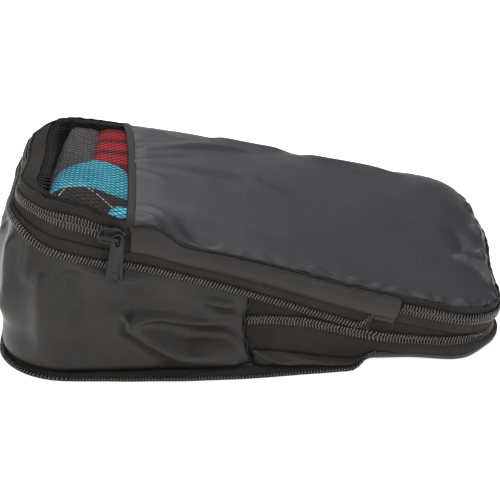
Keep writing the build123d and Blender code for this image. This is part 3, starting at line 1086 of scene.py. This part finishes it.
def make_mesh_window():
    """A net of diamond holes, one ring of faces for each."""
    opening = Rim(WINDOW_LOW[0] - 2, TRIM_X[1] + 40, NET_LOW_Y - 1, NET_HIGH_Y + 1, WINDOW_CORNER)
    bm = bmesh.new()
    columns = int((TRIM_X[1] - WINDOW_LOW[0]) / CELL_X) + 3
    rows = int((NET_HIGH_Y - NET_LOW_Y) / CELL_Y) + 4

    def net_point(x, y, drop):
        fold = 1.3 * bell(x, WINDOW_LOW[0] + 6 + 2 * math.sin(y / 17), 1.8)
        fold += 1.1 * bell(x, WINDOW_LOW[0] + 11 + 2 * math.sin(y / 23), 1.6)
        return [c * MM for c in upper(slant(x, y), y, lid_height(x, y) - 0.3 + fold - drop)]

    for i in range(columns):
        for j in range(rows):
            if (i + j) % 2:
                continue
            cx, cy = WINDOW_LOW[0] - 2 + i * CELL_X, NET_LOW_Y - 2 + j * CELL_Y
            if opening.inside(cx, cy) < 0 or cx > TRIM_X[1]:
                continue
            gathered = max(smooth((GATHERED_X - cx) / 4), smooth((cy - GATHERED_Y) / 5))
            hole = mix(HOLE, GATHERED_HOLE, gathered)
            ring_out, ring_in = [], []
            for side in range(4):
                a, b = side * math.pi / 2, (side + 1) * math.pi / 2
                for part in range(3):
                    f = part / 3
                    dx = mix(math.cos(a), math.cos(b), f)
                    dy = mix(math.sin(a), math.sin(b), f)
                    swell = 1 + 0.16 * math.sin(math.pi * f) - 0.1 * (part == 0)
                    ring_out.append(bm.verts.new(net_point(cx + CELL_X * dx, cy + CELL_Y * dy, 0)))
                    ring_in.append(bm.verts.new(net_point(cx + hole * swell * CELL_X * dx,
                                                          cy + hole * swell * CELL_Y * dy, 0.12)))
            for k in range(12):
                n = (k + 1) % 12
                bm.faces.new((ring_out[k], ring_out[n], ring_in[n], ring_in[k]))
    bmesh.ops.remove_doubles(bm, verts=bm.verts, dist=0.02 * MM)
    mesh = bpy.data.meshes.new("mesh_window_net")
    bm.to_mesh(mesh)
    bm.free()
    window = settle(linked("mesh_window_net", mesh), 0.2)
    fit(window, net, "mesh", "lid", "mesh_window")


def make_window_trim():
    """The folded binding between window and lid, which runs down over the front edge."""
    middle, half = sum(TRIM_X) / 2, (TRIM_X[1] - TRIM_X[0]) / 2

    def place(u, v):
        y = v * (LID.high_y + 0.3)
        x = middle + half * u
        crown = 0.4 * math.sqrt(max(1 - u ** 4, 0.0))
        return upper(slant(x, y), y, lid_height(x, y) + 0.3 + crown)

    vs = [math.sin(a) for a in spaced(-math.pi / 2, math.pi / 2, 90)]
    trim = sheet("window_trim_binding", spaced(-1, 1, 10), vs, place, 0.5)
    fit(trim, binding, "nylon", "lid", "window_trim")


def make_lid_piping():
    # The cord along the lid's seam is drawn near-black: painted shade for the shadow in the seam's
    # recess.
    line = []
    for t in LID.walk(0, 8, 1.2)[:-1]:
        x, y = LID.at(t)[:2]
        line.append(upper_at(t, -0.35 + 0.3 * ripple(x, y, 0, 4.0, 8.0),
                             LID_Z + 0.4 + 0.9 * ripple(x, y, 0, 6.0, 3.0)))
    piping = tube("lid_piping_cord", [line], 0.65, closed=True)
    fit(piping, thread_and_seam_shade, "nylon", "lid", "lid_piping")


# --- Clothes --------------------------------------------------------------------------------------
FROM_WALL = 4.5


def make_garment(name, node, material, slot, x_span, front, back, roof_drop, slope=0.0):
    """A folded garment: a soft block between two lines y(x), with the edges of its folds.

    Its top follows the lid, roof_drop below it, and its ends move by slope millimetres towards the
    thin end for each one towards the back. It stays FROM_WALL inside the base's outline.
    """
    low_z = limits(node)[0][2]

    def place(u, w):
        end = max(1 - abs(2 * u - 1) ** 5, 0.0) ** 0.25
        x = mix(*x_span, u)
        y0, y1 = front(x), back(x)
        yc, hy = (y0 + y1) / 2, (y1 - y0) / 2
        c, s = math.cos(w), math.sin(w)
        cy = math.copysign(abs(c) ** 0.4, c)
        cz = math.copysign(abs(s) ** 0.4, s)
        y = yc + hy * cy * mix(0.75, 1, end)
        x += slope * y
        x, _, roof = upper(slant(x, y), y, lid_height(x, y) - roof_drop)
        x, y = BASE.kept_in(x, y, FROM_WALL)
        zc, hz = (low_z + roof) / 2, (roof - low_z) / 2
        z = zc + hz * cz * end
        side = 1 - abs(cz) ** 4
        y += side * 0.9 * math.sin(z / 1.5) * math.copysign(1, cy)
        y += 0.8 * ripple(x, y, z, 14.0, 2.5)
        z += 0.7 * ripple(x, y, z, 16.0, 7.5)
        return x, y, max(z, low_z)

    us = [0.5 - 0.5 * math.cos(a) for a in spaced(0, math.pi, 30)]
    ws = spaced(0, 2 * math.pi, 64)
    points, faces = grid(us, ws, place)
    rows = len(ws)
    faces.append(list(range(rows - 1)))
    faces.append([(len(us) - 1) * rows + j for j in range(rows - 1)][::-1])
    garment = make_object(name, points, faces)
    face_outwards(garment, merge=0.01)
    fit(garment, material, slot, "base", node)
    crumple(garment)


# Where the brown jumper and the blue shirt end towards the back, by x
BROWN_BACK = [(-116, -66), (-106, -56), (-93.5, -42), (-84, -38.5), (-72, -40)]
BLUE_BACK = [(-118, -34), (-108, -10), (-98, 9), (-89.7, 16), (-80.7, 12), (-72, -4)]
GREY_RED_SLOPE = 0.07
ARGYLE = [[(-98.5, -51), (-89.5, -57.5), (-79, -68.5)], [(-101, -54), (-104, -64), (-106.5, -74)]]
DASH, DASH_STEP = 1.3, 2.0  # length of a dash, and from one to the next


def make_argyle():
    """Two lines of pale dashes knitted into the jumper."""
    dashes = []
    for line in ARGYLE:
        for (ax, ay), (bx, by) in zip(line, line[1:]):
            length = math.hypot(bx - ax, by - ay)
            for k in range(int(length / DASH_STEP)):
                ends = [(k * DASH_STEP + e) / length for e in (0, DASH / 2, DASH)]
                spots = [(mix(ax, bx, f), mix(ay, by, f)) for f in ends]
                dashes.append([upper(slant(x, y), y, lid_height(x, y) - 0.75) for x, y in spots])
    stitches = tube("brown_jumper_dashes", dashes, 0.3)
    fit(stitches, white_yarn, "grey_knit", "base", "brown_jumper")
    crumple(stitches)


def make_clothes():
    right = TRIM_X[1] + 8
    front, back = LID.low_y + 3.0, LID.high_y + 2.0
    make_garment("brown_jumper_folded", "brown_jumper", brown_knit, "brown_knit", (-118, right),
                 lambda x: front, lambda x: curve(BROWN_BACK, x), 1.6)
    make_garment("blue_shirt_folded", "blue_shirt", blue_knit, "blue_knit", (-116.5, right),
                 lambda x: curve(BROWN_BACK, x) - 9, lambda x: curve(BLUE_BACK, x), 1.3)
    make_garment("blue_shirt_hem", "blue_shirt", blue_knit, "blue_knit", (-87, right),
                 lambda x: front + 0.5, lambda x: -57.0 - 10 * smooth((-78 - x) / 8), 0.7)
    make_garment("red_shirt_folded", "red_shirt", red_knit, "red_knit", (-98, right),
                 lambda x: -24, lambda x: back, 1.6, slope=GREY_RED_SLOPE)
    make_argyle()
    make_garment("grey_shirt_folded", "grey_shirt", grey_knit, "grey_knit", (-115, -90),
                 lambda x: -40, lambda x: back, 2.0, slope=GREY_RED_SLOPE)


# --- Sliders and pulls ----------------------------------------------------------------------------
class Seat:
    """Where a slider sits: its middle on the chain, along the chain, across it and outwards."""

    def __init__(self, middle, along, outward):
        self.middle = Vector(middle)
        self.along = Vector(along).normalized()
        outward = Vector(outward)
        self.outward = (outward - outward.dot(self.along) * self.along).normalized()
        self.side = self.outward.cross(self.along)

    def at(self, a, b, c):
        return self.middle + a * self.along + b * self.side + c * self.outward


def plate(seat, outline, low, high, bevel, sunk=0.0):
    """Points and faces of a bevelled plate. If sunk, its outer face has a raised rim."""
    count = len(outline)
    normals = []
    for i in range(count):
        (ax, ay), (bx, by) = outline[i - 1], outline[(i + 1) % count]
        length = math.hypot(bx - ax, by - ay)
        normals.append(((ay - by) / length, (bx - ax) / length))
    levels = [(bevel, low), (0.0, low + bevel), (0.0, high - bevel), (bevel, high)]
    if sunk:
        levels += [(bevel + 0.5, high), (bevel + 0.8, high - sunk)]
    points = [seat.at(a + inset * na, b + inset * nb, c) for inset, c in levels
              for (a, b), (na, nb) in zip(outline, normals)]
    faces = []
    for k in range(len(levels) - 1):
        for i in range(count):
            j = (i + 1) % count
            faces.append((k * count + i, k * count + j, (k + 1) * count + j, (k + 1) * count + i))
    faces.append(list(range(count))[::-1])
    faces.append([(len(levels) - 1) * count + i for i in range(count)])
    return points, faces


def combined(name, parts):
    """One object from several lists of points and faces."""
    points, faces = [], []
    for more_points, more_faces in parts:
        first = len(points)
        points += more_points
        faces += [[first + i for i in face] for face in more_faces]
    made = make_object(name, points, faces)
    face_outwards(made)
    edges = made.modifiers.new("edges", "EDGE_SPLIT")
    edges.split_angle = math.radians(50)
    return settle(made)


def taken(piece):
    """The points and faces of an object, which is then removed."""
    part = [v.co / MM for v in piece.data.vertices], [list(f.vertices) for f in piece.data.polygons]
    bpy.data.objects.remove(piece)
    return part


ARC_STEPS = 10


def slider_outline():
    """From above: a blunt nose at the closed end, and a wider end with rounded corners."""
    half, nose, wide, r = 5.3, 3.9, 4.6, 1.6
    corners = [(half - r, -wide + r, -90), (half - r, wide - r, 0), (-half + r, nose - r, 90),
               (-half + r, -nose + r, 180)]
    return [(a + r * math.cos(math.radians(turn + 90 * k / ARC_STEPS)),
             b + r * math.sin(math.radians(turn + 90 * k / ARC_STEPS)))
            for a, b, turn in corners for k in range(ARC_STEPS + 1)]


LEG = 4.0  # the bridge's legs stand this far from the slider's middle
BRIDGE = [(-LEG, 3.2), (-LEG, 5.0), (-LEG + 0.7, 6.0), (-1.6, 6.3), (1.6, 6.3), (LEG - 0.7, 6.0),
          (LEG, 5.0), (LEG, 3.2)]
PULL_REACH = 19.0  # from the leg that the pull hangs on to the middle of its round end
PULL_HEAD, PULL_END = 2.9, 4.1  # radii of its two ends
RING_STEPS = 14
MAIN_PULL_SWING = 7.0  # degrees that the main pull is turned at rest
DIMPLE = 2.1  # radius of the ring round the dimple at the pull's end


def make_slider(name, seat):
    outline = slider_outline()
    parts = [plate(seat, outline, 2.5, 3.8, 0.35, 0.25), plate(seat, outline, -2.4, -1.3, 0.3)]
    for side in (-1, 1):
        flange = [(0.4, 3.9 * side), (4.6, 3.9 * side), (4.6, 4.55 * side), (0.4, 4.55 * side)]
        parts.append(plate(seat, flange[::side], 0.5, 2.6, 0.1))
    line = [seat.at(a, 0, c) for a, c in BRIDGE]
    bridge = tube(f"{name}_bridge", [line], lambda f: 0.85 + 0.35 * abs(2 * f - 1) ** 2, sides=10)
    parts.append(taken(bridge))
    slider = combined(f"{name}_body", parts)
    fit(slider, paint, "black_metal", name, name)


def pull_ring(head, end, reach):
    """The outline round two circles, one at the leg and one at the pull's round end."""
    lean = math.degrees(math.asin((end - head) / reach))
    ring = []
    for k in range(RING_STEPS + 1):
        a = math.radians(mix(lean, 180 - lean, k / RING_STEPS))
        ring.append((head * math.cos(a), head * math.sin(a)))
    for k in range(RING_STEPS + 1):
        a = math.radians(mix(180 - lean, 360 + lean, k / RING_STEPS))
        ring.append((end * math.cos(a), -reach + end * math.sin(a)))
    return ring


def make_pull(name, seat, swing):
    """A tapered pull hooked on a leg of the bridge: a rim, a sunk face, a hole and a dimple."""
    turn = math.radians(swing)
    leg = Seat(seat.at(LEG, 0, 0), math.cos(turn) * seat.along + math.sin(turn) * seat.side,
               seat.outward)
    rings = [pull_ring(PULL_HEAD - inset, PULL_END - inset, PULL_REACH) for inset in (0.0, 0.35)]
    face = pull_ring(PULL_HEAD - 0.9, PULL_END - 0.95, PULL_REACH)
    hole = pull_ring(1.75, 1.0, 2.8)
    sunk_face = pull_ring(PULL_HEAD - 1.0, PULL_END - 1.2, PULL_REACH)
    low, high, sunk = 4.0, 5.2, 4.9
    levels = [(hole, low + 0.2), (rings[1], low), (rings[0], low + 0.35), (rings[0], high - 0.35),
              (rings[1], high), (face, high), (sunk_face, sunk), (hole, sunk - 0.1), (hole, low + 0.2)]
    count = len(hole)
    points = [leg.at(a, b, c) for ring, c in levels for a, b in ring]
    faces = [(k * count + i, k * count + (i + 1) % count, (k + 1) * count + (i + 1) % count,
              (k + 1) * count + i) for k in range(len(levels) - 1) for i in range(count)]
    turns = spaced(0, 2 * math.pi, 24)[:-1]
    rim = tube(f"{name}_rim", [[leg.at(DIMPLE * math.cos(a), -PULL_REACH + DIMPLE * math.sin(a), sunk)
                                for a in turns]], 0.22, closed=True)
    pull = combined(f"{name}_tab", [(points, faces), taken(rim)])
    fit(pull, paint, "black_metal", name, name)


def make_sliders():
    """The main slider and its pull, in place of the CAD ones."""
    low, high = flat_limits("main_slider")
    x = (low[0] + high[0]) / 2
    middle = upper(x, LID.low_y, MAIN_Z)
    further = upper(x + 5, LID.low_y, MAIN_Z)
    seat = Seat(middle, Vector(further) - Vector(middle), (0, -1, 0))
    make_slider("main_slider", seat)
    make_pull("main_pull", seat, MAIN_PULL_SWING)


def paint_sliders():
    """The other two sliders and their pulls keep their CAD shape."""
    for zip_name in ("compression", "access"):
        for part in ("slider", "pull"):
            node = frame["nodes"][f"{zip_name}_{part}"]
            node.data.materials.clear()
            node.data.materials.append(paint)


# --- Stage ----------------------------------------------------------------------------------------
def make_stage():
    floor = make_object("floor", [(-4000, -4000, 0), (4000, -4000, 0), (4000, 4000, 0),
                                  (-4000, 4000, 0)], [(0, 1, 2, 3)])
    floor.location.z = -0.0005
    pale = Finish("pale_floor", 0.9)
    pale.shader.inputs["Base Color"].default_value = (0.9, 0.9, 0.9, 1)
    pale.shader.inputs["Emission Color"].default_value = (1, 1, 1, 1)
    pale.shader.inputs["Emission Strength"].default_value = 0.8
    floor.data.materials.append(pale.material)
    world = bpy.data.worlds.new("studio")
    bpy.context.scene.world = world
    world.use_nodes = True
    world.node_tree.nodes["Background"].inputs["Color"].default_value = (1, 1, 1, 1)
    world.node_tree.nodes["Background"].inputs["Strength"].default_value = 0.24
    lights = [
        ("back_softbox", (-0.05, 1.0, 0.95), 5.0, 0.6),
        ("top_softbox", (0.3, 0.0, 1.3), 6.0, 0.6),
        ("left_softbox", (-1.1, -0.45, 0.5), 5.5, 0.3),
        ("right_softbox", (0.9, -1.0, 0.45), 5.5, 0.5),
        ("front_softbox", (-0.25, -1.2, 0.75), 4.5, 0.4),
    ]
    for name, place, power, size in lights:
        light = bpy.data.lights.new(name, "AREA")
        light.energy = power
        light.size = size
        holder = linked(name, light)
        holder.location = place
        aim = Vector((0, 0, 0.04)) - Vector(place)
        holder.rotation_euler = aim.to_track_quat("-Z", "Y").to_euler()


def make_camera():
    azimuth, elevation = math.radians(-2.6), math.radians(24.8)
    target, distance = Vector((-0.0019, -0.0025, 0.028)), 0.881
    back = Vector((math.sin(azimuth) * math.cos(elevation),
                   -math.cos(azimuth) * math.cos(elevation), math.sin(elevation)))
    camera = linked("camera", bpy.data.cameras.new("camera"))
    camera.data.lens = 122.1
    camera.data.sensor_width = 36
    camera.location = target + back * distance
    camera.rotation_mode = "QUATERNION"
    camera.rotation_quaternion = (-back).to_track_quat("-Z", "Y")
    bpy.context.scene.camera = camera
    bpy.context.scene.view_settings.view_transform = "Standard"


make_base_panel()
make_base_piping()
make_brim()
make_gusset()
make_access_zip()
make_side_strip()
make_side_seam()
make_hinge_strip()
make_frame_tapes()
make_lid_panel()
make_window_border()
make_mesh_window()
make_window_trim()
make_lid_piping()
make_clothes()
make_sliders()
paint_sliders()
make_stage()
make_camera()
